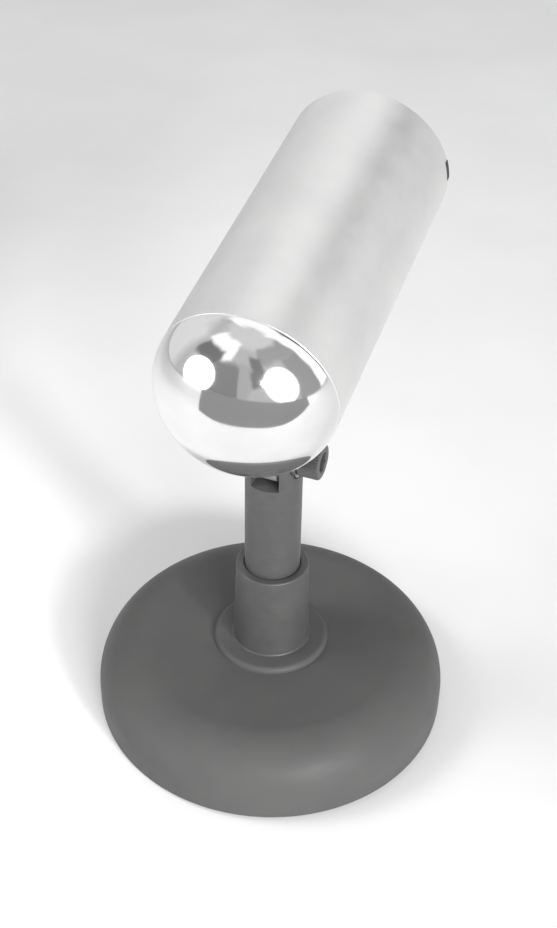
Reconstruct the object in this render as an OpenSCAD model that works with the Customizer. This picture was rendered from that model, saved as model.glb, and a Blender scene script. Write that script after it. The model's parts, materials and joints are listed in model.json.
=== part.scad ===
// Tilting-head thermopile radiometer on a weighted bench stand.
// Millimetres, +Z up. The origin is the centre of the foot's underside on the bench, and the tube
// points towards +Y. A polished dome closes the tube's rear end, and a window its front end.
// The post swivels in the collar, and the tube tilts on the post's fork, held by a clamp screw.

/* [Base] */
// Diameter of the weighted base
base_d = 82.6; // [76:0.2:96]
// Height of the base's flat top above the bench
base_h = 17.4; // [16.6:0.2:20]
// Radius of the base's rounded shoulder
shoulder_r = 11.5; // [6:0.5:14]

/* [Stand] */
// Diameter of the swivelling post
post_d = 12.7; // [12.5:0.1:13.5]
// Outside diameter of the tapered collar at its foot
collar_d = 18; // [17.5:0.1:20]
// Outside diameter of the collar at its top
collar_top_d = 16.6; // [16.2:0.1:18]
// Height of the collar's top above the bench
collar_top = 40.4; // [38:0.2:43]
// Diameter of the foot ring under the collar
foot_ring_d = 27; // [24:0.5:30]

/* [Tilt joint] */
// Height of the tilt axis above the bench
pivot_z = 71.6; // [69:0.2:78]
// Elevation of the tube as drawn, in degrees
tilt = 12; // [-40:1:85]
// Width of the slot between the fork's cheeks
slot_w = 6.4; // [6.2:0.1:6.6]
// Diameter of the clamp screw's shank
clamp_d = 4.8; // [4:0.1:5]
// Diameter of the clamp screw's knurled head
clamp_head_d = 8; // [7.4:0.1:9]
// Length of the clamp screw's head
clamp_head_l = 4.75; // [4:0.05:6]

/* [Tube] */
// Outside diameter of the tube
tube_d = 38.1; // [37:0.1:40]
// Length of the tube
tube_l = 76.2; // [74:0.2:90]
// Wall thickness of the tube
tube_wall = 1.65; // [1.4:0.05:1.8]
// Distance from the tilt axis to the tube's axis
tube_rise = 28.5; // [28.4:0.1:30]
// Distance from the tube's rear rim forward to the tilt axis
rear_reach = 10.1; // [9.6:0.1:12]
// Height of the polished dome behind the tube's rear rim
dome_h = 15.4; // [13:0.1:18]

/* [Optics] */
// Clear aperture of the front ring
aperture_d = 25.4; // [22:0.1:28]
// Diameter of the blackened receiver
receiver_d = 12; // [9:0.5:14]
// Angle of the front ring's key from the top of the tube, clockwise from behind
key_angle = 83; // [60:1:120]

/* [Hidden] */
$fn = 96;

// Colours
black_enamel = [0.07, 0.07, 0.075];
gunmetal = [0.17, 0.17, 0.18];
satin_metal = [0.74, 0.74, 0.75];
mirror_metal = [0.9, 0.9, 0.92];
steel = [0.55, 0.55, 0.57];
brass = [0.72, 0.58, 0.3];
rubber_black = [0.05, 0.05, 0.05];

// Fits
slip = 0.05;          // radial gap between pieces of one body that slide together on assembly
turn = 0.05;          // gap at a turning fit

// Base and stand bolt
base_r = base_d / 2;
pad_t = 1.2;
pad_stand = 0.6;      // how far the pad holds the base off the bench
pad_r = base_r - 2.4;
bolt_d = 6.35;
bolt_head_r = 6.2;
bolt_head_h = 4.2;
recess_r = 8.8;
recess_top = 7.8;
stand_washer_t = 1.4;

// Foot ring, collar and the bearing in it
foot_ring_t = 1.4;
collar_foot = base_h + foot_ring_t;
collar_bore_r = post_d / 2 + turn;
bolt_top = collar_foot + 6.8;
thrust_z = bolt_top + 1;
thrust_t = 0.8;
post_foot = thrust_z + thrust_t + turn;
pinch_z = collar_top - 5.4;
pinch_d = 4;
pinch_l = 2.1;
pinch_hex = 2;
pad_tip_r = post_d / 2 - 0.3;
pinch_split_r = post_d / 2 + 0.95;

// Fork and clamp
ear_r = 5.9;          // rounded top of the fork's cheeks, about the tilt axis
slot_depth = 6.5;     // from the tilt axis down to the slot's floor
clamp_bore_r = clamp_d / 2 + 0.1;
seat_x = post_d / 2 - 0.85;
clamp_washer_t = 0.8;
clamp_washer_r = 4.5;
head_x = seat_x + clamp_washer_t + turn;
clamp_hex = 4;
tongue_t = 5;
friction_washer_r = 5.6;

// Saddle under the tube, in the tilting frame
tongue_r = 6.2;
tube_r = tube_d / 2;
bore_r = tube_r - tube_wall;
saddle_z = ear_r + 0.9;
saddle_w = 18;
saddle_rear = 1 - rear_reach;
saddle_front = 12.9;
saddle_screw_x = 5;
saddle_screw_y = 9.5;
saddle_screw_d = 3;
saddle_screw_head_d = 5.6;
saddle_screw_l = 9;

// Stations along the tube, from the tilt axis forward
tube_rear = -rear_reach;
tube_front = tube_rear + tube_l;
spigot_l = 5;
sink_rear = tube_rear + spigot_l + 1;
sink_front = 27;
insulator_t = 4;
guard_t = 0.8;
guard_screw_d = 1.6;
guard_screw_r = (bore_r + receiver_d / 2 + 5) / 2;
thermopile_t = 3.2;
receiver_t = 0.4;
stack_rear = sink_front + insulator_t + guard_t;
ring_l = 3.6;
ring_setback = 0.2;
window_t = 2.4;
window_front = tube_front - ring_l - ring_setback;
window_rear = window_front - window_t;
seal_d = 1.6;
stack_front = window_rear - seal_d;
baffles = 3;
baffle_t = 1;
baffle_pitch = (stack_front - stack_rear) / baffles;
liner_r = bore_r - slip;
key_w = 4.6;
key_l = 1.3;

// Output connector under the tube
plug_y = 20;
plug_r = 3.9;
plug_recess_r = 1.9;
plug_l = 6;
nut_t = 2;
nut_across = 11;
seat_t = 1.6;
seat_r = 6.2;
plug_inner = 5;       // reach of the connector's body above the tube's lowest line
pocket_r = 5;
pocket_top = 12;      // above the tube's lowest line
wire_d = 0.9;
wire_gap = 1.3;
wire_rise = tube_rise - 8;
tube_low = tube_rise - tube_r;
plug_top = tube_low + plug_inner;
plug_foot = tube_low - seat_t - nut_t - plug_l;
barrel_wall = 0.9;
contact_r = 0.6;

// Everything that tilts is drawn about the tilt axis, with the tube level
module tilting() {
    translate([0, 0, pivot_z]) rotate([tilt, 0, 0]) children();
}

// Local +Z runs forward along the tube's axis from station y, and local -Y is up
module on_axis(y = 0) {
    tilting() translate([0, y, tube_rise]) rotate([-90, 0, 0]) children();
}

// Local +Z runs along row +X from the tilt axis
module on_pivot() {
    translate([0, 0, pivot_z]) rotate([0, 90, 0]) children();
}

// A ring or washer standing on z = 0
module ring(r_out, r_in, h) {
    difference() {
        cylinder(r = r_out, h = h);
        translate([0, 0, -1]) cylinder(r = r_in, h = h + 2);
    }
}

// A hexagonal prism of a given size across its flats
module hex_prism(across, h) {
    cylinder(r = across / sqrt(3), h = h, $fn = 6);
}

// Points of a quarter circle or quarter ellipse, from angle a0 to a1
function arc(cx, cy, rx, ry, a0, a1, steps = 24) =
    [for (i = [0:steps]) let (a = a0 + (a1 - a0) * i / steps) [cx + rx * cos(a), cy + ry * sin(a)]];

// Turned disc with a rounded shoulder, recessed below for the pad and the bolt's head
module base_body() {
    color(black_enamel) difference() {
        rotate_extrude($fn = 180) polygon(concat(
            [[0, pad_stand], [base_r - 0.6, pad_stand], [base_r, pad_stand + 0.6]],
            arc(base_r - shoulder_r, base_h - shoulder_r, shoulder_r, shoulder_r, 0, 90),
            [[0, base_h]]));
        translate([0, 0, -1]) cylinder(r = pad_r + slip, h = 1 + pad_t);
        cylinder(r = recess_r, h = recess_top);
        cylinder(r = bolt_d / 2 + 0.2, h = base_h + 1);
    }
}

// Rubber disc that the whole instrument stands on
module base_pad() {
    color(rubber_black) cylinder(r = pad_r, h = pad_t);
}

// Hexagon-headed bolt that holds the collar down on the base
module stand_bolt() {
    washer_z = recess_top - stand_washer_t;
    color(steel) union() {
        translate([0, 0, washer_z - bolt_head_h]) hex_prism(bolt_head_r * sqrt(3), bolt_head_h);
        translate([0, 0, washer_z - 1]) cylinder(d = bolt_d, h = bolt_top - washer_z + 1);
    }
}

module stand_washer() {
    color(steel) translate([0, 0, recess_top - stand_washer_t])
        ring(recess_r - 0.8, bolt_d / 2 + 0.15, stand_washer_t);
}

// Low turned ring between the base and the collar, with a rounded upper edge
module foot_ring() {
    foot_r = foot_ring_d / 2;
    edge = foot_ring_t - 0.3;
    color(black_enamel) rotate_extrude() polygon(concat(
        [[bolt_d / 2 + 0.15, base_h], [foot_r, base_h]],
        arc(foot_r - edge, collar_foot - edge, edge, edge, 0, 90, 10),
        [[bolt_d / 2 + 0.15, collar_foot]]));
}

// Socket for the post, tapped from below for the stand bolt and at the back for the pinch screw
module collar() {
    collar_r = collar_d / 2;
    top_r = collar_top_d / 2;
    bevel = 0.4;
    flare = 0.4;
    color(gunmetal) difference() {
        rotate_extrude() polygon(concat(
            [[0, collar_foot], [collar_r + flare, collar_foot]],
            [for (i = [1:8]) let (a = 180 + 90 * i / 8)
                [collar_r + flare + flare * cos(450 - a), collar_foot + flare + flare * sin(450 - a)]],
            [[top_r, collar_top - bevel], [top_r - bevel, collar_top], [0, collar_top]]));
        cylinder(r = bolt_d / 2 + slip, h = collar_top);
        translate([0, 0, thrust_z]) cylinder(r = collar_bore_r, h = collar_top);
        translate([0, 0, pinch_z]) rotate([-90, 0, 0]) cylinder(r = pinch_d / 2 + slip, h = collar_d);
    }
}

// Nylon disc that the post turns on
module thrust_washer() {
    color("ivory") translate([0, 0, thrust_z]) ring(post_d / 2 - 0.3, 1.6, thrust_t);
}

// Socket-headed grub screw at the back of the collar
module pinch_screw() {
    color(steel) translate([0, pinch_split_r, pinch_z]) rotate([-90, 0, 0]) difference() {
        cylinder(d = pinch_d, h = pinch_l);
        translate([0, 0, pinch_l - 1.4]) hex_prism(pinch_hex, 2);
    }
}

// Soft tip that runs in the post's groove: it sets the swivel's friction and keeps the post in
module pinch_pad() {
    color("ivory") translate([0, pad_tip_r + turn, pinch_z]) rotate([-90, 0, 0])
        cylinder(d = pinch_d - 0.4, h = pinch_split_r - pad_tip_r - turn);
}

// Round post with a forked top, a spot face for the clamp washer and a groove for the pinch pad
module post() {
    post_r = post_d / 2;
    color(gunmetal) difference() {
        intersection() {
            translate([0, 0, post_foot]) cylinder(r = post_r, h = pivot_z + ear_r - post_foot);
            union() {
                translate([-post_d, -post_d, 0]) cube([2 * post_d, 2 * post_d, pivot_z]);
                on_pivot() translate([0, 0, -post_d]) cylinder(r = ear_r, h = 2 * post_d);
            }
        }
        translate([-slot_w / 2, -post_d, pivot_z - slot_depth]) cube([slot_w, 2 * post_d, 2 * post_d]);
        on_pivot() translate([0, 0, -post_d]) cylinder(r = clamp_bore_r, h = 2 * post_d);
        on_pivot() translate([0, 0, seat_x]) cylinder(r = clamp_washer_r + 0.3, h = post_d);
        translate([0, 0, pinch_z - pinch_d / 2]) difference() {
            cylinder(r = post_d, h = pinch_d);
            translate([0, 0, -1]) cylinder(r = pad_tip_r, h = pinch_d + 2);
        }
        translate([0, 0, post_foot]) difference() {
            translate([0, 0, -1]) cylinder(r = post_d, h = 1.5);
            cylinder(r1 = post_r - 0.5, r2 = post_r, h = 0.5);
        }
    }
}

// Fibre washers on both sides of the tongue
module friction_washers() {
    washer_t = slot_w / 2 - tongue_t / 2 - turn;
    color("sienna") for (side = [-1, 1])
        on_pivot() translate([0, 0, side > 0 ? slot_w / 2 - washer_t : -slot_w / 2])
            ring(friction_washer_r, clamp_bore_r, washer_t);
}

module clamp_washer() {
    color(steel) on_pivot() translate([0, 0, seat_x]) ring(clamp_washer_r, clamp_bore_r, clamp_washer_t);
}

// Cap screw through the fork: turning it sets how firmly the tube is held
module clamp_screw() {
    bevel = 0.4;
    head_r = clamp_head_d / 2;
    tip_x = -post_d / 2 + 0.4;
    color(gunmetal) on_pivot() difference() {
        rotate_extrude() polygon([
            [0, tip_x], [clamp_d / 2 - bevel, tip_x], [clamp_d / 2, tip_x + bevel],
            [clamp_d / 2, head_x], [head_r, head_x], [head_r, head_x + clamp_head_l - bevel],
            [head_r - bevel, head_x + clamp_head_l], [0, head_x + clamp_head_l]]);
        translate([0, 0, head_x + clamp_head_l - 2.4]) hex_prism(clamp_hex, 3);
    }
}

// Tongue in the fork, and a cradle under the tube
module saddle() {
    color(satin_metal) tilting() difference() {
        union() {
            rotate([0, 90, 0]) translate([0, 0, -tongue_t / 2]) cylinder(r = tongue_r, h = tongue_t);
            translate([-tongue_t / 2, -tongue_r, 0]) cube([tongue_t, 2 * tongue_r, saddle_z + 1]);
            translate([-saddle_w / 2, saddle_rear, saddle_z])
                cube([saddle_w, saddle_front - saddle_rear, tube_rise - bore_r - saddle_z]);
        }
        translate([0, 0, tube_rise]) rotate([90, 0, 0]) cylinder(r = tube_r, h = 200, center = true);
        rotate([0, 90, 0]) cylinder(r = clamp_bore_r, h = tongue_t + 2, center = true);
        for (x = [-1, 1] * saddle_screw_x) translate([x, saddle_screw_y, saddle_z]) {
            translate([0, 0, -1]) cylinder(r = saddle_screw_d / 2 + slip, h = 20);
            countersink(slip);
        }
    }
}

// Cone of a countersunk head, sunk from z = 0 upwards
module countersink(gap = 0) {
    head_r = saddle_screw_head_d / 2 + gap;
    sunk = head_r - saddle_screw_d / 2;
    translate([0, 0, -0.01]) cylinder(r1 = head_r, r2 = saddle_screw_d / 2, h = sunk);
}

// Two countersunk screws through the saddle and the tube into the heat sink
module saddle_screws() {
    color(steel) tilting() for (x = [-1, 1] * saddle_screw_x)
        translate([x, saddle_screw_y, saddle_z]) difference() {
            union() {
                cylinder(d = saddle_screw_d, h = saddle_screw_l);
                intersection() {
                    countersink();
                    cylinder(r = saddle_screw_head_d, h = 3);
                }
            }
            translate([-saddle_screw_head_d, -0.3, -1]) cube([2 * saddle_screw_head_d, 0.6, 1.7]);
        }
}

// Bored tube with a notch in its front rim for the ring's key
module tube() {
    color(satin_metal) difference() {
        on_axis(tube_rear) ring(tube_r, bore_r, tube_l);
        tilting() for (x = [-1, 1] * saddle_screw_x)
            translate([x, saddle_screw_y, saddle_z]) cylinder(d = saddle_screw_d + 0.2, h = saddle_screw_l);
        tilting() translate([0, plug_y, 0]) cylinder(r = plug_r + 0.1, h = tube_rise);
        on_axis(tube_front) ring_key(key_l + slip, key_w + 2 * slip);
    }
}

// Block that fills the tube's wall at the key's place, from the front rim back
module ring_key(l, w) {
    rotate([0, 0, key_angle - 90]) translate([bore_r - 1, -w / 2, -l]) cube([tube_wall + 3, w, l + 1]);
}

// Polished cap: an ellipse outside, hollow inside, with a spigot that fits the tube
module dome_cap() {
    spigot_r = bore_r - slip;
    hollow_r = spigot_r - 2.4;
    groove = 1.7;
    color(mirror_metal) on_axis(tube_rear) rotate_extrude($fn = 180) polygon(concat(
        [[hollow_r, spigot_l], [spigot_r, spigot_l],
         [spigot_r, spigot_l / 2 + groove / 2], [spigot_r - 1.2, spigot_l / 2 + groove / 2],
         [spigot_r - 1.2, spigot_l / 2 - groove / 2], [spigot_r, spigot_l / 2 - groove / 2],
         [spigot_r, 0], [tube_r, 0]],
        arc(0, 0, tube_r, -dome_h, 3, 90, 44),
        arc(0, 0, hollow_r, 2.4 - dome_h, 90, 0, 30)));
}

// Rubber ring in the spigot's groove
module dome_seal() {
    seal_r = 0.6;
    color(rubber_black) on_axis(tube_rear + spigot_l / 2)
        rotate_extrude() translate([bore_r - slip - seal_r, 0]) circle(r = seal_r, $fn = 32);
}

// Block that holds the detector's cold side at the tube's temperature
module heat_sink() {
    color(brass) difference() {
        on_axis(sink_rear) cylinder(r = liner_r, h = sink_front - sink_rear);
        tilting() {
            for (x = [-1, 1] * saddle_screw_x)
                translate([x, saddle_screw_y, 0])
                    cylinder(r = saddle_screw_d / 2 + slip, h = saddle_z + saddle_screw_l + 1);
            translate([0, plug_y, 0]) cylinder(r = pocket_r, h = tube_low + pocket_top);
            translate([0, plug_y, wire_rise]) rotate([-90, 0, 0]) cylinder(r = 2.4, h = sink_front);
        }
    }
}

// Junction pile behind the receiver
module thermopile() {
    color("peru") on_axis(sink_front) cylinder(d = receiver_d - 1, h = thermopile_t);
}

// Blackened disc that the radiation warms
module receiver_disc() {
    color([0.02, 0.02, 0.02]) on_axis(sink_front + thermopile_t) cylinder(d = receiver_d, h = receiver_t);
}

// Ring that carries the guard plate clear of the heat sink
module insulator_ring() {
    color("saddlebrown") on_axis(sink_front) difference() {
        ring(liner_r, receiver_d / 2 + 5, insulator_t);
        guard_screw_holes(insulator_t);
    }
}

// Plate round the receiver that keeps stray radiation off the junctions
module guard_plate() {
    color(satin_metal) on_axis(sink_front + insulator_t) difference() {
        ring(liner_r, receiver_d / 2 + 0.6, guard_t);
        guard_screw_holes(guard_t);
    }
}

module guard_screw_holes(depth) {
    for (a = [30:120:270]) rotate([0, 0, a]) translate([guard_screw_r, 0, -1])
        cylinder(r = guard_screw_d / 2 + slip, h = depth + 2);
}

// Three cheese-headed screws that hold the guard plate on its ring
module guard_screws() {
    color(steel) on_axis(sink_front + insulator_t + guard_t)
        for (a = [30:120:270]) rotate([0, 0, a]) translate([guard_screw_r, 0, 0]) difference() {
            union() {
                cylinder(d = 2.6, h = 0.9);
                translate([0, 0, -insulator_t - guard_t])
                    cylinder(d = guard_screw_d, h = insulator_t + guard_t + 0.1);
            }
            translate([-2, -0.2, 0.5]) cube([4, 0.4, 1]);
        }
}

// Thin liner tube that sets the distance to the next baffle
module spacer(i) {
    color(black_enamel) on_axis(stack_rear + i * baffle_pitch)
        ring(liner_r, liner_r - 0.9, baffle_pitch - baffle_t);
}

// Knife-edged stop: its hole opens from the receiver towards the front aperture
module baffle(i) {
    station = stack_rear + (i + 1) * baffle_pitch;
    reach = (station - stack_rear) / (tube_front - stack_rear);
    hole_r = receiver_d / 2 + 2 + (aperture_d / 2 - receiver_d / 2 - 1.6) * reach;
    color(black_enamel) on_axis(station - baffle_t) rotate_extrude() polygon([
        [hole_r, 0], [liner_r, 0], [liner_r, baffle_t], [hole_r + baffle_t, baffle_t], [hole_r, 0.1]]);
}

// Flat clear disc across the front of the tube
module window() {
    color([0.8, 0.9, 0.95, 0.35]) on_axis(window_rear) cylinder(r = liner_r, h = window_t);
}

// Rubber ring between the front baffle and the window
module window_seal() {
    color(rubber_black) on_axis(window_rear - seal_d / 2)
        rotate_extrude() translate([liner_r - seal_d / 2, 0]) circle(d = seal_d, $fn = 32);
}

// Screwed ring that holds the window, with a bevelled aperture, spanner holes and a key
module aperture_ring() {
    aperture_r = aperture_d / 2;
    bevel = 1.6;
    color(black_enamel) on_axis(window_front) difference() {
        union() {
            rotate_extrude() polygon([
                [aperture_r, 0], [liner_r, 0], [liner_r, ring_l],
                [aperture_r + bevel, ring_l], [aperture_r, ring_l - bevel]]);
            intersection() {
                translate([0, 0, ring_l + ring_setback]) ring_key(key_l, key_w);
                cylinder(r = tube_r + 0.1, h = ring_l);
            }
        }
        for (side = [-1, 1]) translate([0, side * (aperture_r + liner_r + bevel) / 2, ring_l - 1.4])
            cylinder(d = 1.6, h = 3);
    }
}

// Barrel of the coaxial output connector, which points down from the tube
module output_connector() {
    color("silver") tilting() translate([0, plug_y, plug_foot]) difference() {
        cylinder(r = plug_r, h = plug_top - plug_foot);
        translate([0, 0, -1]) cylinder(r = plug_r - barrel_wall, h = plug_top - plug_foot + 2);
    }
}

// Insulating core of the connector, with the plug's recess in its lower face
module connector_insulator() {
    color("ivory") tilting() translate([0, plug_y, plug_foot]) difference() {
        translate([0, 0, 0.4]) cylinder(r = plug_r - barrel_wall, h = plug_top - plug_foot - 0.4);
        translate([0, 0, -1]) cylinder(r = plug_recess_r, h = plug_l);
        cylinder(r = contact_r, h = plug_top - plug_foot + 1);
    }
}

module centre_contact() {
    color(brass) tilting() translate([0, plug_y, plug_foot + 1])
        cylinder(r = contact_r, h = plug_top - plug_foot);
}

// Shaped seat between the round tube and the flat nut
module connector_seat() {
    color(gunmetal) tilting() difference() {
        translate([0, plug_y, tube_low - seat_t]) ring(seat_r, plug_r + slip, seat_t + 2);
        translate([0, 0, tube_rise]) rotate([90, 0, 0]) cylinder(r = tube_r, h = 200, center = true);
    }
}

module connector_nut() {
    color("silver") tilting() translate([0, plug_y, tube_low - seat_t - nut_t]) difference() {
        hex_prism(nut_across, nut_t);
        translate([0, 0, -1]) cylinder(r = plug_r + slip, h = nut_t + 2);
    }
}

// Two wires from the connector through the heat sink to the thermopile
module lead_wires() {
    start_z = plug_top + 1.2;
    end_z = tube_rise - receiver_d / 2;
    color("goldenrod") tilting() for (x = [-1, 1] * wire_gap) translate([x, plug_y, 0]) {
        translate([0, 0, start_z]) cylinder(d = wire_d, h = wire_rise - start_z + wire_d / 2);
        translate([0, 0, wire_rise]) rotate([-90, 0, 0]) cylinder(d = wire_d, h = sink_front - plug_y + 1);
        translate([0, sink_front - plug_y + 1, wire_rise - wire_d / 2])
            cylinder(d = wire_d, h = end_z - wire_rise + wire_d / 2);
    }
}

base_body();
base_pad();
stand_bolt();
stand_washer();
foot_ring();
collar();
thrust_washer();
pinch_screw();
pinch_pad();
post();
friction_washers();
clamp_washer();
clamp_screw();
saddle();
saddle_screws();
tube();
dome_cap();
dome_seal();
heat_sink();
thermopile();
receiver_disc();
insulator_ring();
guard_plate();
guard_screws();
spacer(0);  // spacer_rear
spacer(1);  // spacer_middle
spacer(2);  // spacer_front
baffle(0);  // baffle_rear
baffle(1);  // baffle_middle
baffle(2);  // baffle_front
window();
window_seal();
aperture_ring();
output_connector();
connector_insulator();
centre_contact();
connector_seat();
connector_nut();
lead_wires();
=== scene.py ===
import json
import math

import bmesh
import bpy
from mathutils import Matrix, Vector


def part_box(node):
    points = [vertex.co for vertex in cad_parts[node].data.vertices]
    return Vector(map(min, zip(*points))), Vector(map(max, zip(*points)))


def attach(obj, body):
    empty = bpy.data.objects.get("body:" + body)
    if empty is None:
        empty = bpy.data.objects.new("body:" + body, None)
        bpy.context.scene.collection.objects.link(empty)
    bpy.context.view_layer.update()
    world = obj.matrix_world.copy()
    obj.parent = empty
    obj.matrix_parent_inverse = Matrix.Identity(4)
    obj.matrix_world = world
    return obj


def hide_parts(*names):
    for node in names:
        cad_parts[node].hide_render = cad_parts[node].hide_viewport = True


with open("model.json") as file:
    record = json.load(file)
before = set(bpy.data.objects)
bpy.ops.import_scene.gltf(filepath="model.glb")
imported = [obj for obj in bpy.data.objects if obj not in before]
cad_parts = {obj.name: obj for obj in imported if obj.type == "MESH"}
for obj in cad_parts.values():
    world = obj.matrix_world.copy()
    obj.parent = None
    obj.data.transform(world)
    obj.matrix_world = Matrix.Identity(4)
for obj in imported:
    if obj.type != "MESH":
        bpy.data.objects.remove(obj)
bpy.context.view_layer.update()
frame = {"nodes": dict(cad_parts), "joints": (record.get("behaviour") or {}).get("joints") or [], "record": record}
nodes = frame["nodes"]
scene = bpy.context.scene

MM = 0.001


# ---------------------------------------------------------------------------------------------
# Places, read from the frame

joints = {j["name"]: j for j in frame["joints"]}
mounts = {m["name"]: m for m in frame["record"]["mounts"]}

pivot = Vector(joints["tilt"]["pos_m"])
plug_axis = Vector(mounts["output_connector"]["axis"])
rest_tilt = math.atan2(plug_axis.y, -plug_axis.z)

# In the head's frame the origin is on the tilt axis, +Y runs forward along the tube and +Z is up
head_frame = Matrix.Translation(pivot) @ Matrix.Rotation(rest_tilt, 4, "X")

# A turned piece is built about its own +Z, in millimetres
FORWARD = Matrix.Rotation(math.radians(-90), 4, "X")
SIDEWAYS = Matrix.Rotation(math.radians(90), 4, "Y")


def head_box(node):
    """Lowest and highest corners of a CAD node in the head's frame, in millimetres."""
    inverse = head_frame.inverted()
    points = [inverse @ v.co / MM for v in nodes[node].data.vertices]
    low = [min(p[i] for p in points) for i in range(3)]
    high = [max(p[i] for p in points) for i in range(3)]
    return Vector(low), Vector(high)


def row_box(node):
    low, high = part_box(node)
    return low / MM, high / MM


def axial(node):
    """First and last station of a piece along the tube, and its radius, in millimetres."""
    low, high = head_box(node)
    return low.y, high.y, (high.x - low.x) / 2


tube_rear, tube_front, tube_r = axial("tube")
tube_low, tube_high = head_box("tube")
tube_rise = (tube_low.z + tube_high.z) / 2
pivot_z = pivot.z / MM


def on_tube(station):
    """Placement of a piece whose own +Z runs forward along the tube from a station on its axis."""
    return head_frame @ Matrix.Translation(Vector((0, station, tube_rise)) * MM) @ FORWARD


def upright(z=0.0):
    return Matrix.Translation((0, 0, z * MM))


def on_pivot(x=0.0):
    """Placement of a piece whose own +Z runs along row +X from a place on the tilt axis."""
    return Matrix.Translation(pivot + Vector((x * MM, 0, 0))) @ SIDEWAYS


# ---------------------------------------------------------------------------------------------
# Mesh helpers

def arc(cx, cz, rx, rz, start, end, steps=8):
    """Points on an ellipse in a profile's own plane, angles in degrees from +r towards +z."""
    angles = [math.radians(start + (end - start) * i / steps) for i in range(steps + 1)]
    return [(cx + rx * math.cos(a), cz + rz * math.sin(a)) for a in angles]


def rounded(profile, radius, steps=3):
    """A closed profile with each of its corners rounded to about the radius."""
    out = []
    count = len(profile)
    for i, corner in enumerate(profile):
        before, after = profile[i - 1], profile[(i + 1) % count]
        p = Vector(corner)
        a, b = Vector(before) - p, Vector(after) - p
        if corner[0] < 1e-6 or a.length < 1e-6 or b.length < 1e-6:
            out.append(corner)
            continue
        cut = min(radius, a.length * 0.45, b.length * 0.45)
        s, e = p + a.normalized() * cut, p + b.normalized() * cut
        for k in range(steps + 1):
            t = k / steps
            q = s * (1 - t) ** 2 + p * 2 * t * (1 - t) + e * t * t
            out.append((q.x, q.y))
    return out


def mark_edges(bm, sharp_deg=32):
    limit = math.radians(sharp_deg)
    for edge in bm.edges:
        edge.smooth = len(edge.link_faces) == 2 and edge.calc_face_angle(0) < limit
    for face in bm.faces:
        face.smooth = True


def to_object(bm, name, placement, sharp_deg=32):
    bmesh.ops.recalc_face_normals(bm, faces=bm.faces)
    mark_edges(bm, sharp_deg)
    mesh = bpy.data.meshes.new(name)
    bm.to_mesh(mesh)
    bm.free()
    obj = bpy.data.objects.new(name, mesh)
    scene.collection.objects.link(obj)
    obj.matrix_world = placement
    return obj


def turned_mesh(profile, closed=True, segments=192, shape=None):
    """A solid of revolution about +Z from (radius, height) points in millimetres."""
    bm = bmesh.new()
    rings = []
    for r, z in profile:
        if r < 1e-6:
            rings.append([bm.verts.new((0, 0, z * MM))])
            continue
        ring = []
        for i in range(segments):
            a = 2 * math.pi * i / segments
            radius = shape(r, z, a) if shape else r
            ring.append(bm.verts.new((radius * math.cos(a) * MM, radius * math.sin(a) * MM, z * MM)))
        rings.append(ring)
    pairs = list(zip(rings, rings[1:]))
    if closed:
        pairs.append((rings[-1], rings[0]))
    for low, high in pairs:
        if len(low) == 1 and len(high) == 1:
            continue
        for i in range(segments):
            j = (i + 1) % segments
            corners = [low[i % len(low)], low[j % len(low)], high[j % len(high)], high[i % len(high)]]
            corners = list(dict.fromkeys(corners))
            bm.faces.new(corners)
    return bm


def turned(name, profile, placement, closed=True, segments=192, shape=None):
    return to_object(turned_mesh(profile, closed, segments, shape), name, placement)


def block_mesh(low, high):
    """A box between two corners, in millimetres."""
    bm = bmesh.new()
    bmesh.ops.create_cube(bm, size=1)
    low, high = Vector(low) * MM, Vector(high) * MM
    for v in bm.verts:
        v.co = Vector([low[i] + (v.co[i] + 0.5) * (high[i] - low[i]) for i in range(3)])
    return bm


def block(name, low, high, placement):
    return to_object(block_mesh(low, high), name, placement)


def prism(name, sides, r, z0, z1, placement, turn=0.0):
    return turned(name, [(0, z0), (r, z0), (r, z1), (0, z1)],
                  placement @ Matrix.Rotation(turn, 4, "Z"), closed=False, segments=sides)


def plate(name, outline, start, end, placement):
    """A flat plate with an outline in its own XY plane, from one height to another in millimetres."""
    bm = bmesh.new()
    low, high = [[bm.verts.new((x * MM, y * MM, z * MM)) for x, y in outline] for z in (start, end)]
    bm.faces.new(low)
    bm.faces.new(high)
    for i in range(len(outline)):
        bm.faces.new([low[i - 1], low[i], high[i], high[i - 1]])
    return to_object(bm, name, placement)


def combine(target, others, operation="DIFFERENCE"):
    """Cuts or joins other solids into the target, and removes them."""
    for other in others:
        change = target.modifiers.new(operation.lower(), "BOOLEAN")
        change.operation = operation
        change.solver = "EXACT"
        change.object = other
    bpy.context.view_layer.update()
    evaluated = target.evaluated_get(bpy.context.evaluated_depsgraph_get())
    result = bpy.data.meshes.new_from_object(evaluated)
    target.modifiers.clear()
    old = target.data
    target.data = result
    result.name = old.name
    bpy.data.meshes.remove(old)
    for other in others:
        bpy.data.objects.remove(other)
    bm = bmesh.new()
    bm.from_mesh(target.data)
    bmesh.ops.remove_doubles(bm, verts=bm.verts, dist=1e-7)
    mark_edges(bm)
    bm.to_mesh(target.data)
    bm.free()
    return target


def soften(obj, width=0.15, segments=2, angle=35):
    """Breaks the sharp edges of a machined piece, and shades its flats flat."""
    if width:
        bevel = obj.modifiers.new("broken_edges", "BEVEL")
        bevel.width = width * MM
        bevel.segments = segments
        bevel.limit_method = "ANGLE"
        bevel.angle_limit = math.radians(angle)
        bevel.use_clamp_overlap = True
        bevel.harden_normals = False
    normals = obj.modifiers.new("flat_faces", "WEIGHTED_NORMAL")
    normals.keep_sharp = True
    normals.weight = 50
    return obj


def finish_piece(obj, body, slot, material, *replaced):
    obj.data.materials.clear()
    obj.data.materials.append(material)
    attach(obj, body)
    if replaced:
        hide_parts(*replaced)
    return obj


# ---------------------------------------------------------------------------------------------
# Materials

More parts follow.
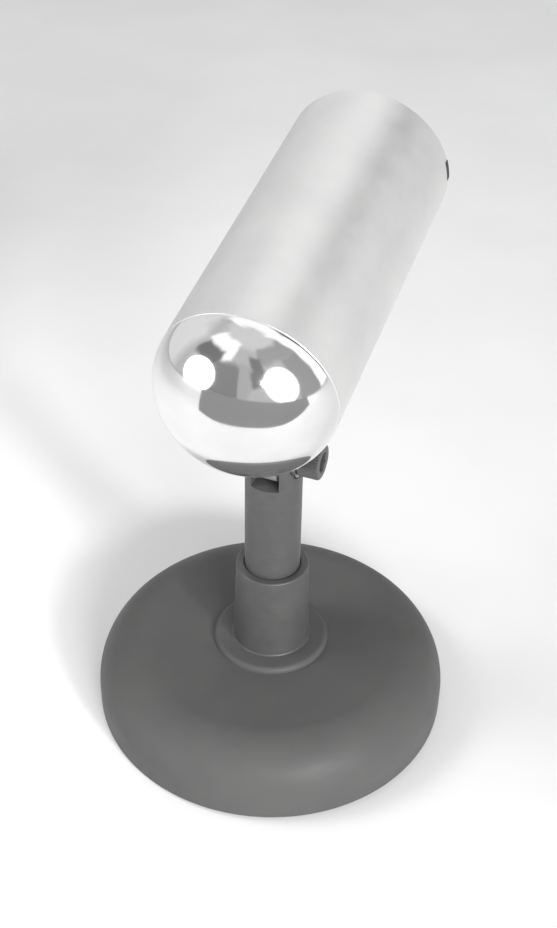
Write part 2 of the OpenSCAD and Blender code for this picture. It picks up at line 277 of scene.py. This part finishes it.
class Shader:
    """A short way to write a material's nodes."""

    def __init__(self, name):
        self.material = bpy.data.materials.new(name)
        self.material.use_nodes = True
        self.tree = self.material.node_tree
        self.bsdf = self.tree.nodes["Principled BSDF"]
        self.coords = self.tree.nodes.new("ShaderNodeTexCoord").outputs["Object"]

    def node(self, kind, inputs=None, **settings):
        made = self.tree.nodes.new(kind)
        for key, value in settings.items():
            setattr(made, key, value)
        for key, value in (inputs or {}).items():
            if isinstance(value, bpy.types.NodeSocket):
                self.tree.links.new(value, made.inputs[key])
            else:
                made.inputs[key].default_value = value
        return made

    def set(self, **values):
        for key, value in values.items():
            socket = self.bsdf.inputs[key.replace("_", " ")]
            if isinstance(value, bpy.types.NodeSocket):
                self.tree.links.new(value, socket)
            else:
                socket.default_value = value
        return self

    def stretched(self, x, y, z):
        """Object coordinates, in metres, scaled along each axis."""
        return self.node("ShaderNodeMapping", {"Vector": self.coords, "Scale": (x, y, z)}).outputs[0]

    def noise(self, size_mm, detail=3.0, rough=0.55, vector=None):
        """Noise with features of about a given size, from 0 to 1."""
        return self.node("ShaderNodeTexNoise",
                         {"Vector": vector or self.coords, "Scale": 1.0 / (size_mm * MM),
                          "Detail": detail, "Roughness": rough}).outputs["Fac"]

    def around(self, lines_per_mm):
        """Turning marks: noise that changes quickly along the axis and slowly around it."""
        vector = self.stretched(60, 60, lines_per_mm / MM)
        return self.node("ShaderNodeTexNoise", {"Vector": vector, "Scale": 1.0, "Detail": 4.0,
                                                "Roughness": 0.6}).outputs["Fac"]

    def between(self, factor, low, high, start=0.3, end=0.7):
        """A value that goes from low to high as the factor goes from start to end."""
        return self.node("ShaderNodeMapRange", {"Value": factor, "From Min": start, "From Max": end,
                                                "To Min": low, "To Max": high}).outputs[0]

    def colours(self, factor, first, second):
        mix = self.node("ShaderNodeMix", data_type="RGBA")
        self.tree.links.new(factor, mix.inputs["Factor"])
        mix.inputs["A"].default_value = (*first, 1)
        mix.inputs["B"].default_value = (*second, 1)
        return mix.outputs["Result"]

    def math(self, operation, a, b):
        return self.node("ShaderNodeMath", {0: a, 1: b}, operation=operation).outputs[0]

    def bump(self, height, depth_mm, strength=1.0, under=None):
        inputs = {"Height": height, "Distance": depth_mm * MM, "Strength": strength}
        if under is not None:
            inputs["Normal"] = under
        return self.node("ShaderNodeBump", inputs).outputs[0]


def grey(v, warm=0.0):
    return (v * (1 + warm), v, v * (1 - warm))


def enamel():
    """Satin black stove enamel: faint orange peel, thin dust on top, small rubbed patches."""
    s = Shader("black_enamel")
    peel = s.noise(1.4, 2.0)
    fine = s.noise(0.22, 3.0, 0.6)
    patches = s.noise(16, 4.0, 0.6)
    colour = s.colours(s.between(patches, 0, 1), grey(0.078), grey(0.088, 0.01))
    s.set(Base_Color=colour, Roughness=s.between(s.noise(5, 4.0, 0.65), 0.46, 0.58),
          Specular_IOR_Level=0.16)
    s.set(Normal=s.bump(fine, 0.012, 0.5, s.bump(peel, 0.05, 0.35)))
    return s.material


def blackened():
    """Turned steel with a chemical black finish: turning marks, and a greyer worn tone in places."""
    s = Shader("blackened_steel")
    marks = s.around(7)
    wear = s.noise(6, 5.0, 0.65)
    colour = s.colours(s.between(wear, 0, 1), grey(0.072), grey(0.092, 0.01))
    s.set(Base_Color=colour, Metallic=0.3, Roughness=s.between(marks, 0.42, 0.56),
          Specular_IOR_Level=0.4)
    s.set(Normal=s.bump(marks, 0.02, 0.35, s.bump(s.noise(0.3), 0.01, 0.3)))
    return s.material


def satin_tube():
    """Fine-blasted light metal under a thin lacquer: even grain and faint handling marks."""
    s = Shader("satin_tube")
    grain = s.noise(0.16, 3.0, 0.7)
    cloud = s.noise(14, 4.0, 0.55)
    colour = s.colours(s.between(cloud, 0, 1), grey(0.70), grey(0.76, 0.004))
    s.set(Base_Color=colour, Metallic=0.9, Roughness=s.between(s.noise(4, 5.0, 0.6), 0.4, 0.47),
          Specular_IOR_Level=0.4)
    s.set(Normal=s.bump(grain, 0.03, 0.45))
    return s.material


def mirror():
    """Polished dome: almost perfect mirror with hairline polishing marks and a few faint smudges."""
    s = Shader("polished_dome")
    hair = s.node("ShaderNodeTexNoise", {"Vector": s.stretched(900, 900, 9000), "Scale": 1.0,
                                         "Detail": 5.0, "Roughness": 0.7}).outputs["Fac"]
    smudge = s.noise(7, 5.0, 0.6)
    s.set(Base_Color=s.colours(s.between(smudge, 0, 1), grey(0.79), grey(0.83)), Metallic=0.93,
          Roughness=s.between(smudge, 0.07, 0.11, 0.4, 0.75))
    s.set(Normal=s.bump(hair, 0.002, 0.12))
    return s.material


def metal(name, base, roughness, warm=0.0, marks=5, spread=0.08, metallic=1.0):
    """Machined metal with turning marks and slight tarnish."""
    s = Shader(name)
    lines = s.around(marks)
    tarnish = s.noise(3, 5.0, 0.65)
    first = base if isinstance(base, tuple) else grey(base, warm)
    second = tuple(c * 0.78 for c in first)
    s.set(Base_Color=s.colours(s.between(tarnish, 0, 1), first, second), Metallic=metallic,
          Roughness=s.between(lines, roughness, roughness + spread))
    s.set(Normal=s.bump(lines, 0.012, 0.4))
    return s.material


def dull(name, first, second, roughness, grain_mm, depth_mm):
    """A non-metal with a fine grain: rubber, laminate, fibre or a black coating."""
    s = Shader(name)
    grain = s.noise(grain_mm, 5.0, 0.65)
    s.set(Base_Color=s.colours(s.between(s.noise(4, 4.0), 0, 1), first, second),
          Roughness=s.between(grain, roughness, min(1.0, roughness + 0.12)))
    s.set(Normal=s.bump(grain, depth_mm, 0.6))
    return s.material


def glass():
    """Polished window: clear, with the faintest dust film."""
    s = Shader("window_glass")
    s.set(Base_Color=(0.97, 0.985, 0.98, 1), Transmission_Weight=1.0, IOR=1.46,
          Roughness=s.between(s.noise(5, 5.0, 0.6), 0.0, 0.03, 0.5, 0.8))
    return s.material


MATERIALS = {
    "base_enamel": enamel(),
    "stand_metal": blackened(),
    "tube_metal": satin_tube(),
    "dome_metal": mirror(),
    "steel": metal("machined_steel", 0.34, 0.3),
    "brass": metal("turned_brass", (0.68, 0.5, 0.22), 0.26),
    "black_anodised": metal("black_anodised", 0.022, 0.42, metallic=0.3),
    "receiver_black": dull("receiver_black", grey(0.008), grey(0.014), 0.88, 0.12, 0.02),
    "junctions": metal("junction_pile", (0.5, 0.3, 0.18), 0.4),
    "phenolic": dull("phenolic", (0.16, 0.06, 0.025), (0.11, 0.04, 0.018), 0.4, 0.5, 0.01),
    "guard_metal": metal("guard_metal", 0.74, 0.2, marks=9, spread=0.12),
    "window_glass": glass(),
    "rubber": dull("rubber", grey(0.018), grey(0.03), 0.72, 0.25, 0.02),
    "pad_rubber": dull("pad_rubber", grey(0.02), grey(0.035), 0.78, 0.4, 0.05),
    "nylon": dull("nylon", (0.72, 0.69, 0.61), (0.62, 0.58, 0.5), 0.42, 0.6, 0.01),
    "fibre": dull("fibre", grey(0.05, 0.1), grey(0.07, 0.1), 0.6, 0.3, 0.02),
    "nickel": metal("nickel_plate", 0.6, 0.16, warm=0.03, spread=0.1),
    "enamelled_wire": metal("enamelled_wire", (0.42, 0.16, 0.05), 0.25),
}


def dress_cad_nodes():
    """Every CAD node that stays shown takes its slot's material."""
    for part in frame["record"]["subparts"]:
        mesh = nodes[part["node"]].data
        mesh.materials.clear()
        mesh.materials.append(MATERIALS[part["material_slot"]])


# ---------------------------------------------------------------------------------------------
# The stand

def build_base():
    low, high = row_box("base_body")
    radius, top, bottom = high.x, high.z, low.z
    shoulder = 11.5
    recess_r = row_box("base_pad")[1].x + 0.05
    recess_top = row_box("base_pad")[1].z
    bolt_recess_r, bolt_recess_top = 8.8, 7.8
    profile = ([(0, bolt_recess_top), (bolt_recess_r, bolt_recess_top), (bolt_recess_r, recess_top),
                (recess_r, recess_top), (recess_r, bottom)]
               + [(radius - 1.0, bottom)] + arc(radius - 0.7, bottom + 0.7, 0.7, 0.7, -90, 0, 5)
               + arc(radius - shoulder, top - shoulder, shoulder, shoulder, 0, 90, 32)
               + [(radius * 0.5, top), (0, top)])
    base = turned("base_casting", profile, upright(), closed=False, segments=256)
    soften(base, 0)
    finish_piece(base, "base", "base_enamel", MATERIALS["base_enamel"], "base_body")


def build_pad():
    low, high = row_box("base_pad")
    profile = rounded([(0, low.z), (high.x, low.z), (high.x, high.z), (0, high.z)], 0.35)
    pad = turned("base_foot_pad", profile, upright(), closed=False, segments=192)
    soften(pad, 0)
    finish_piece(pad, "base", "pad_rubber", MATERIALS["pad_rubber"], "base_pad")


def build_foot_ring():
    low, high = row_box("foot_ring")
    inner, edge = 3.35, high.z - low.z - 0.3
    profile = ([(inner, low.z), (high.x, low.z), (high.x, high.z - edge)]
               + arc(high.x - edge, high.z - edge, edge, edge, 0, 90, 10)[1:] + [(inner, high.z)])
    ring = turned("foot_ring_turned", profile, upright())
    soften(ring, 0)
    finish_piece(ring, "base", "base_enamel", MATERIALS["base_enamel"], "foot_ring")


def build_collar():
    low, high = row_box("collar")
    flare, bevel = 0.4, 0.4
    foot_r, top_r = high.x - flare, 8.3
    post_low, post_high = row_box("post")
    bore_r = post_high.x + 0.05
    thrust_z = row_box("thrust_washer")[0].z
    stud_r = 3.2
    outer = ([(high.x, low.z)] + arc(high.x, low.z + flare, flare, flare, 270, 180, 8)
             + arc(top_r - bevel, high.z - bevel, bevel, bevel, 0, 90, 6))
    profile = outer + [(bore_r + 0.25, high.z), (bore_r, high.z - 0.25), (bore_r, thrust_z),
                       (stud_r, thrust_z), (stud_r, low.z)]
    collar = turned("collar_sleeve", profile, upright())
    screw_low, screw_high = row_box("pinch_screw")
    screw_z, screw_r = (screw_low.z + screw_high.z) / 2, (screw_high.z - screw_low.z) / 2
    hole = turned("hole", [(0, 0), (screw_r + 0.05, 0), (screw_r + 0.05, 20), (0, 20)],
                  upright(screw_z) @ FORWARD, closed=False, segments=48)
    combine(collar, [hole])
    soften(collar, 0)
    finish_piece(collar, "base", "stand_metal", MATERIALS["stand_metal"], "collar")


def build_pinch_screw():
    low, high = row_box("pinch_screw")
    radius, length = (high.x - low.x) / 2, high.y - low.y
    profile = rounded([(0, 0), (radius, 0), (radius, length), (0, length)], 0.3)
    place = Matrix.Translation(Vector((0, low.y, (low.z + high.z) / 2)) * MM) @ FORWARD
    screw = turned("pinch_grub_screw", profile, place, closed=False, segments=64)
    combine(screw, [prism("key", 6, 2 / math.sqrt(3), length - 1.4, length + 1, place)])
    soften(screw, 0.06, 1)
    finish_piece(screw, "base", "steel", MATERIALS["steel"], "pinch_screw")


def build_post():
    low, high = row_box("post")
    radius = high.x
    washer_low, washer_high = row_box("clamp_washer")
    seat_x = washer_low.x
    seat_r = (washer_high.y - washer_low.y) / 2 + 0.3
    slot_w, slot_floor = 6.4, pivot_z - 6.5
    ear_r = high.z - pivot_z
    bore_r = 2.5
    groove_z, groove_h, groove_r = row_box("pinch_pad")[0].z - 0.2, 4, radius - 0.3
    profile = [(0, low.z), (radius - 0.5, low.z), (radius, low.z + 0.5), (radius, groove_z),
               (groove_r, groove_z), (groove_r, groove_z + groove_h), (radius, groove_z + groove_h),
               (radius, high.z + 1), (0, high.z + 1)]
    post = turned("fork_post", profile, upright(), closed=False, segments=160)
    far = 40
    ears = turned("ears", [(0, -far), (ear_r, -far), (ear_r, far), (0, far)], on_pivot(), False, 160)
    shaft = block("shaft", (-far, -far, 0), (far, far, pivot_z), upright())
    combine(ears, [shaft], "UNION")
    combine(post, [ears], "INTERSECT")
    slot = block("slot", (-slot_w / 2, -far, slot_floor), (slot_w / 2, far, far * 3), upright())
    bore = turned("bore", [(0, -far), (bore_r, -far), (bore_r, far), (0, far)], on_pivot(), False, 64)
    seat = turned("seat", [(0, 0), (seat_r, 0), (seat_r, far), (0, far)], on_pivot(seat_x), False, 96)
    combine(post, [slot, bore, seat])
    soften(post, 0.22, 3)
    finish_piece(post, "post", "stand_metal", MATERIALS["stand_metal"], "post")


def build_clamp_screw():
    """Knurled cap screw with a hexagon socket."""
    low, high = row_box("clamp_screw")
    head_r = (high.z - low.z) / 2
    head_x = row_box("clamp_washer")[1].x + 0.05
    teeth, depth, bevel = 36, 0.32, 0.45
    shank_r = 2.4

    def knurl(r, z, a):
        if r < shank_r + 0.2 or z < head_x + 0.2:
            return r
        wave = abs((a * teeth / (2 * math.pi)) % 1 * 2 - 1)
        return min(r, head_r - depth * wave)

    tip = low.x
    profile = ([(0, tip), (shank_r - 0.4, tip), (shank_r, tip + 0.4), (shank_r, head_x),
                (head_r - 0.35, head_x), (head_r, head_x + 0.35), (head_r, high.x - bevel)]
               + arc(head_r - bevel, high.x - bevel, bevel, bevel, 0, 90, 6)[1:] + [(0, high.x)])
    screw = turned("clamp_cap_screw", profile, on_pivot(), closed=False, segments=teeth * 6, shape=knurl)
    socket = prism("socket", 6, 4 / math.sqrt(3), high.x - 2.4, high.x + 1, on_pivot())
    mouth = turned("mouth", [(0, high.x - 0.25), (2.1, high.x - 0.25), (2.6, high.x + 0.3),
                             (0, high.x + 0.3)], on_pivot(), False, 64)
    combine(screw, [socket, mouth])
    soften(screw, 0)
    finish_piece(screw, "tilt_clamp", "stand_metal", MATERIALS["stand_metal"], "clamp_screw")


def build_washers():
    low, high = row_box("clamp_washer")
    r_out, r_in = (high.y - low.y) / 2, 2.5
    profile = rounded([(r_in, 0), (r_out, 0), (r_out, high.x - low.x), (r_in, high.x - low.x)], 0.15)
    washer = turned("clamp_flat_washer", profile, on_pivot(low.x), segments=96)
    soften(washer, 0)
    finish_piece(washer, "post", "steel", MATERIALS["steel"], "clamp_washer")


# ---------------------------------------------------------------------------------------------
# The tilting head

def build_saddle():
    low, high = head_box("saddle")
    tongue_r, tongue_t = -low.z, 5
    flange_z = 6.8
    screw_low, screw_high = head_box("saddle_screws")
    place = head_frame
    web_top = flange_z + 1
    outline = arc(0, 0, tongue_r, tongue_r, -90, 90, 64) + [(-web_top, tongue_r), (-web_top, -tongue_r)]
    tongue = plate("saddle_cradle", outline, -tongue_t / 2, tongue_t / 2, head_frame @ SIDEWAYS)
    flange = block("flange", (low.x, low.y, flange_z), (high.x, high.y, high.z + 4), place)
    combine(tongue, [flange], "UNION")
    bore = turned("bore", [(0, -9), (2.5, -9), (2.5, 9), (0, 9)], head_frame @ SIDEWAYS, False, 64)
    barrel = turned("barrel", [(0, -60), (tube_r, -60), (tube_r, 60), (0, 60)], on_tube(0), False, 192)
    cuts = [bore, barrel]
    for side in (-1, 1):
        centre = Vector((side * 5, (screw_low.y + screw_high.y) / 2, flange_z))
        cuts.append(turned("sink", [(0, -1), (2.85, -1), (2.85, 0), (1.55, 1.3), (1.55, 12), (0, 12)],
                           head_frame @ Matrix.Translation(centre * MM), False, 48))
    combine(tongue, cuts)
    soften(tongue, 0.25, 3)
    finish_piece(tongue, "head", "tube_metal", MATERIALS["tube_metal"], "saddle")


def build_tube():
    """Bored tube with broken edges, and a notch in its front rim for the ring's key."""
    length = tube_front - tube_rear
    bore_r = axial("aperture_ring")[2] + 0.05
    rim = 0.25
    profile = rounded([(tube_r, 0), (tube_r, length), (bore_r, length), (bore_r, 0)], rim, 4)
    tube = turned("tube_barrel", profile, on_tube(tube_rear), segments=320)
    key = block("notch", (bore_r - 1, -2.35, length - 1.35), (tube_r + 2, 2.35, length + 2),
                on_tube(tube_rear) @ Matrix.Rotation(math.radians(KEY_ANGLE - 90), 4, "Z"))
    combine(tube, [key])
    soften(tube, 0)
    finish_piece(tube, "head", "tube_metal", MATERIALS["tube_metal"], "tube")


KEY_ANGLE = 83


def build_dome():
    """Polished cap. Its outer curve is an ellipse that meets the tube in a fine turned seam."""
    low, high, _ = axial("dome_cap")
    height = tube_rear - low
    spigot = high - tube_rear
    spigot_r = tube_r - 1.7
    wall = 2.4
    outer = arc(0, 0, tube_r, -height, 0, 90, 72)
    inner = arc(0, 0, spigot_r - wall, wall - height, 90, 0, 24)
    lip = 0.12
    dome_out = [p for p in outer[1:] if p[0] > 1e-4] + [(0, -height)]
    dome_in = [(0, wall - height)] + [p for p in inner if p[0] > 1e-4]
    chain = dome_in + [(spigot_r - wall, spigot), (spigot_r, spigot), (spigot_r, 0), (tube_r - lip, 0)] + dome_out
    dome = turned("dome_polished", chain, on_tube(tube_rear), closed=False, segments=320)
    finish_piece(dome, "head", "dome_metal", MATERIALS["dome_metal"], "dome_cap")


def build_front():
    """Aperture ring with a bevelled mouth, spanner holes and its key; the window; and the baffles."""
    rear, front, outer_r = axial("aperture_ring")
    aperture_r, bevel, depth = 12.7, 1.6, 3.6
    place = on_tube(rear)
    profile = ([(aperture_r, 0), (outer_r, 0), (outer_r, depth - 0.3), (outer_r - 0.3, depth),
                (aperture_r + bevel, depth), (aperture_r + bevel - 0.2, depth - 0.06),
                (aperture_r, depth - bevel)])
    ring = turned("aperture_ring_turned", profile, place, segments=256)
    turn = Matrix.Rotation(math.radians(KEY_ANGLE - 90), 4, "Z")
    key = block("key", (outer_r - 1, -2.3, depth + 0.2 - 1.3), (tube_r + 3, 2.3, depth + 0.2), place @ turn)
    trim = turned("trim", [(0, -1), (tube_r + 0.1, -1), (tube_r + 0.1, depth + 0.2), (0, depth + 0.2)],
                  place, False, 256)
    combine(key, [trim], "INTERSECT")
    combine(ring, [key], "UNION")
    holes = []
    hole_r = (aperture_r + tube_r - 1.7 + bevel) / 2
    for side in (-1, 1):
        centre = Matrix.Translation(Vector((0, side * hole_r, depth - 1.4)) * MM)
        holes.append(turned("hole", [(0, 0), (0.8, 0), (0.8, 3), (0, 3)], place @ centre, False, 32))
    combine(ring, holes)
    soften(ring, 0)
    finish_piece(ring, "head", "black_anodised", MATERIALS["black_anodised"], "aperture_ring")

    rear, front, radius = axial("window")
    pane = turned("window_pane", rounded([(0, 0), (radius, 0), (radius, front - rear), (0, front - rear)], 0.2),
                  on_tube(rear), closed=False, segments=160)
    pane.visible_shadow = False
    soften(pane, 0)
    finish_piece(pane, "head", "window_glass", MATERIALS["window_glass"], "window")

    for node in ("baffle_rear", "baffle_middle", "baffle_front"):
        rear, front, radius = axial(node)
        inverse = on_tube(rear).inverted()
        hole_r = min(math.hypot(p.x, p.y) for p in (inverse @ v.co for v in nodes[node].data.vertices)) / MM
        thick = front - rear
        profile = [(hole_r, 0.06), (hole_r, 0), (radius, 0), (radius, thick), (hole_r + thick, thick)]
        stop = turned(node + "_stop", profile, on_tube(rear), segments=224)
        soften(stop, 0)
        finish_piece(stop, "head", "black_anodised", MATERIALS["black_anodised"], node)


def build_detector():
    rear, front, radius = axial("receiver_disc")
    thick = front - rear
    profile = rounded([(0, 0), (radius, 0), (radius, thick), (0, thick)], 0.12)
    disc = turned("receiver_blackened", profile, on_tube(rear), closed=False, segments=128)
    soften(disc, 0)
    finish_piece(disc, "head", "receiver_black", MATERIALS["receiver_black"], "receiver_disc")


def build_connector():
    """Nickel-plated barrel with a fine thread, and its hexagon nut."""
    low, high = head_box("output_connector")
    radius = (high.x - low.x) / 2
    centre = Vector(((low.x + high.x) / 2, (low.y + high.y) / 2, 0))
    place = head_frame @ Matrix.Translation(centre * MM)
    inner_r = radius - 0.9
    nut_low, nut_high = head_box("connector_nut")
    pitch, depth = 0.75, 0.28
    z = low.z + 0.5
    outer = []
    while z + pitch < nut_low.z:
        outer += [(radius - depth, z), (radius, z + pitch * 0.35), (radius, z + pitch * 0.65)]
        z += pitch
    outer += [(radius - depth, z), (radius - depth, nut_low.z), (radius, nut_low.z), (radius, high.z)]
    profile = [(inner_r, low.z), (radius - 0.5, low.z), (radius - depth, low.z + 0.25)] + outer + [(inner_r, high.z)]
    barrel = turned("connector_barrel", profile, place, segments=96)
    soften(barrel, 0)
    finish_piece(barrel, "head", "nickel", MATERIALS["nickel"], "output_connector")

    across = nut_high.y - nut_low.y
    height = nut_high.z - nut_low.z
    spin = Matrix.Rotation(0, 4, "Z")
    nut = prism("connector_hex_nut", 6, across / math.sqrt(3), nut_low.z, nut_high.z, place @ spin)
    crown_r = across / 2
    crown = turned("crown", [(0, nut_low.z - 3.2), (crown_r - 0.2 - 0.0, nut_low.z), (crown_r + 2.2, nut_low.z + 1.4),
                             (crown_r + 2.2, nut_high.z + 1), (0, nut_high.z + 1)], place, False, 128)
    combine(nut, [crown], "INTERSECT")
    bore = turned("bore", [(0, -50), (radius + 0.05, -50), (radius + 0.05, 50), (0, 50)], place, False, 96)
    combine(nut, [bore])
    soften(nut, 0.08, 2)
    finish_piece(nut, "head", "nickel", MATERIALS["nickel"], "connector_nut")


# ---------------------------------------------------------------------------------------------
# Camera, light and floor

def add_camera():
    """The photograph's own view: from behind the dome, above and to the right."""
    azimuth, elevation, roll = (math.radians(d) for d in (20.05, 36.97, 1.106))
    aim = Vector((1.02, 0, 68.36)) * MM
    distance = 289.55 * MM
    back = Vector((math.sin(azimuth) * math.cos(elevation), -math.cos(azimuth) * math.cos(elevation),
                   math.sin(elevation)))
    level = (-back).cross(Vector((0, 0, 1))).normalized()
    upward = level.cross(-back)
    right = level * math.cos(roll) + upward * math.sin(roll)
    up = upward * math.cos(roll) - level * math.sin(roll)
    data = bpy.data.cameras.new("camera")
    data.sensor_width = 36
    data.lens = 52.0
    data.clip_start = 0.01
    camera = bpy.data.objects.new("camera", data)
    scene.collection.objects.link(camera)
    axes = Matrix((right, up, back)).transposed().to_4x4()
    camera.matrix_world = Matrix.Translation(aim + back * distance) @ axes
    scene.camera = camera


def direction(azimuth, elevation):
    """Unit vector towards an azimuth, counted in degrees from +Y towards +X, and an elevation."""
    a, e = math.radians(azimuth), math.radians(elevation)
    return Vector((math.sin(a) * math.cos(e), math.cos(a) * math.cos(e), math.sin(e)))


def add_window_light(name, azimuth, elevation, width_deg, height_deg, distance, radiance, seen=True):
    """A soft oval light that fills a given patch of directions as seen from the instrument."""
    centre = Vector((0, 0, 95 * MM))
    data = bpy.data.lights.new(name, "AREA")
    data.shape = "ELLIPSE"
    data.size = 2 * distance * math.tan(math.radians(width_deg / 2))
    data.size_y = 2 * distance * math.tan(math.radians(height_deg / 2))
    data.energy = radiance * math.pi * data.size * data.size_y * math.pi / 4
    lamp = bpy.data.objects.new(name, data)
    scene.collection.objects.link(lamp)
    away = direction(azimuth, elevation)
    lamp.location = centre + away * distance
    lamp.rotation_euler = away.to_track_quat("Z", "Y").to_euler()
    lamp.visible_camera = False
    lamp.visible_glossy = seen
    return lamp


# Patches of the room: azimuth from and to, elevation from and to, softness in degrees, brightness.
# The first list is what polished metal mirrors, the second is what lights matt surfaces.
MIRRORED_ROOM = (
    (-200, 200, 64, 100, 8, 0.85),
    (-100, -30, -90, 48, 10, 1.0),
    (-36, 14, -90, 52, 6, 1.3),
    (14, 44, -90, 50, 4, 0.14),
    (62, 152, 46, 66, 4, 0.40),
    (66, 108, -90, 46, 4, 0.36),
    (-52, 66, 52, 76, 4, 1.5),
    (42, 70, -30, 58, 3, 1.6),
    (-168, -100, 52, 70, 3, 1.5),
    (-170, -150, 38, 60, 3, 1.5),
    (-150, -112, 27, 50, 3, 0.12),
    (148, 167, 14, 52, 3, 0.15),
    (167, 200, -20, 42, 3, 0.50),
    (-200, -147, -90, 36, 4, 0.20),
)
LIGHTING_ROOM = (
    (-200, 200, 60, 100, 10, 0.62),
    (-80, 30, -90, 58, 12, 0.72),
    (30, 125, -90, 58, 12, 0.12),
)


def add_world():
    """An even pale room, with a few lighter and darker patches."""
    world = bpy.data.worlds.new("room")
    scene.world = world
    world.use_nodes = True
    tree = world.node_tree
    tree.nodes.clear()

    def calc(operation, *values):
        made = tree.nodes.new("ShaderNodeMath")
        made.operation = operation
        for key, value in enumerate(values):
            if isinstance(value, bpy.types.NodeSocket):
                tree.links.new(value, made.inputs[key])
            else:
                made.inputs[key].default_value = value
        return made.outputs[0]

    toward = tree.nodes.new("ShaderNodeTexCoord").outputs["Generated"]
    split = tree.nodes.new("ShaderNodeSeparateXYZ")
    tree.links.new(toward, split.inputs[0])
    wobble = tree.nodes.new("ShaderNodeTexNoise")
    tree.links.new(toward, wobble.inputs["Vector"])
    wobble.inputs["Scale"].default_value = 3.2
    wobble.inputs["Detail"].default_value = 3.0
    shift = calc("MULTIPLY", calc("SUBTRACT", wobble.outputs["Fac"], 0.5), 20.0)
    x, y, z = split.outputs
    azimuth = calc("ADD", calc("MULTIPLY", calc("ARCTAN2", x, y), math.degrees(1)), shift)
    elevation = calc("ADD", calc("MULTIPLY", calc("ARCSINE", z), math.degrees(1)), shift)

    def ramp(value, edge, soft):
        """0 below the edge and 1 above it."""
        made = tree.nodes.new("ShaderNodeMapRange")
        made.interpolation_type = "SMOOTHSTEP"
        tree.links.new(value, made.inputs["Value"])
        made.inputs["From Min"].default_value = edge - soft
        made.inputs["From Max"].default_value = edge + soft
        return made.outputs[0]

    def patch(a0, a1, e0, e1, soft):
        """1 inside a patch of directions and 0 outside."""
        across = calc("SUBTRACT", ramp(azimuth, a0, soft), ramp(azimuth, a1, soft))
        up = calc("SUBTRACT", ramp(elevation, e0, soft), ramp(elevation, e1, soft))
        return calc("MULTIPLY", across, up)

    def room(level, patches):
        value = None
        for a0, a1, e0, e1, soft, brightness in patches:
            mask = patch(a0, a1, e0, e1, soft)
            under = level if value is None else value
            value = calc("ADD", calc("MULTIPLY", under, calc("SUBTRACT", 1.0, mask)),
                         calc("MULTIPLY", mask, brightness))
        background = tree.nodes.new("ShaderNodeBackground")
        tree.links.new(value, background.inputs["Strength"])
        return background.outputs[0]

    def choose(factor, first, second):
        mix = tree.nodes.new("ShaderNodeMixShader")
        tree.links.new(factor, mix.inputs[0])
        tree.links.new(first, mix.inputs[1])
        tree.links.new(second, mix.inputs[2])
        return mix.outputs[0]

    plain = tree.nodes.new("ShaderNodeBackground")
    plain.inputs["Color"].default_value = (0.86, 0.86, 0.86, 1)
    path = tree.nodes.new("ShaderNodeLightPath").outputs
    lit = choose(path["Is Glossy Ray"], room(0.32, LIGHTING_ROOM), room(0.62, MIRRORED_ROOM))
    out = tree.nodes.new("ShaderNodeOutputWorld")
    tree.links.new(choose(path["Is Camera Ray"], lit, plain.outputs[0]), out.inputs[0])


def add_floor():
    bm = bmesh.new()
    bmesh.ops.create_circle(bm, cap_ends=True, radius=4, segments=128)
    floor = to_object(bm, "floor", Matrix.Identity(4))
    s = Shader("floor_card")
    grain = s.noise(0.9, 5.0, 0.7)
    cloud = s.noise(60, 3.0, 0.5)
    s.set(Base_Color=s.colours(s.between(cloud, 0, 1), grey(0.80), grey(0.84)), Roughness=0.7,
          Specular_IOR_Level=0.25)
    s.set(Normal=s.bump(grain, 0.05, 0.3))
    floor.data.materials.append(s.material)


def add_painted_reflection_sheet():
    """A dimly glowing sheet beyond the table's near edge that only polished metal mirrors: a painted reflection of
    the darker room past that edge.
    """
    bm = bmesh.new()
    bm.faces.new([bm.verts.new(direction(azimuth, 0) * reach + Vector((0, 0, 3 * MM)))
                  for azimuth, reach in ((100, 0.55), (135, 0.21), (168, 0.183), (200, 0.19), (215, 0.24),
                                         (215, 3.5), (190, 3.5), (160, 3.5), (130, 3.5), (100, 3.5))])
    sheet = to_object(bm, "painted_reflection_sheet", Matrix.Identity(4))
    material = bpy.data.materials.new("painted_reflection_sheet")
    material.use_nodes = True
    tree = material.node_tree
    tree.nodes.clear()
    # Dim emission, though the sheet is no lamp: it paints the dark band that the dome mirrors.
    glow = tree.nodes.new("ShaderNodeEmission")
    glow.inputs["Color"].default_value = (0.22, 0.22, 0.22, 1)
    out = tree.nodes.new("ShaderNodeOutputMaterial")
    tree.links.new(glow.outputs[0], out.inputs[0])
    sheet.data.materials.append(material)
    sheet.visible_camera = False
    sheet.visible_diffuse = False
    sheet.visible_shadow = False
    sheet.visible_transmission = False


scene.view_settings.view_transform = "Standard"

dress_cad_nodes()
build_base()
build_pad()
build_foot_ring()
build_collar()
build_pinch_screw()
build_post()
build_clamp_screw()
build_washers()
build_saddle()
build_tube()
build_dome()
build_front()
build_detector()
build_connector()
add_camera()
add_world()
add_window_light("window_right", 128, 18, 44, 44, 2.5, 1.2)
add_window_light("window_right_edge", 125, 20, 8, 9, 2.4, 130.0)
add_window_light("window_right_core", 140, 20, 24, 8, 2.4, 50.0)
add_window_light("window_left", -135, 12, 38, 36, 2.5, 3.6)
add_window_light("fill_left", -110, 40, 25, 25, 0.32, 10.0, False)
add_floor()
add_painted_reflection_sheet()
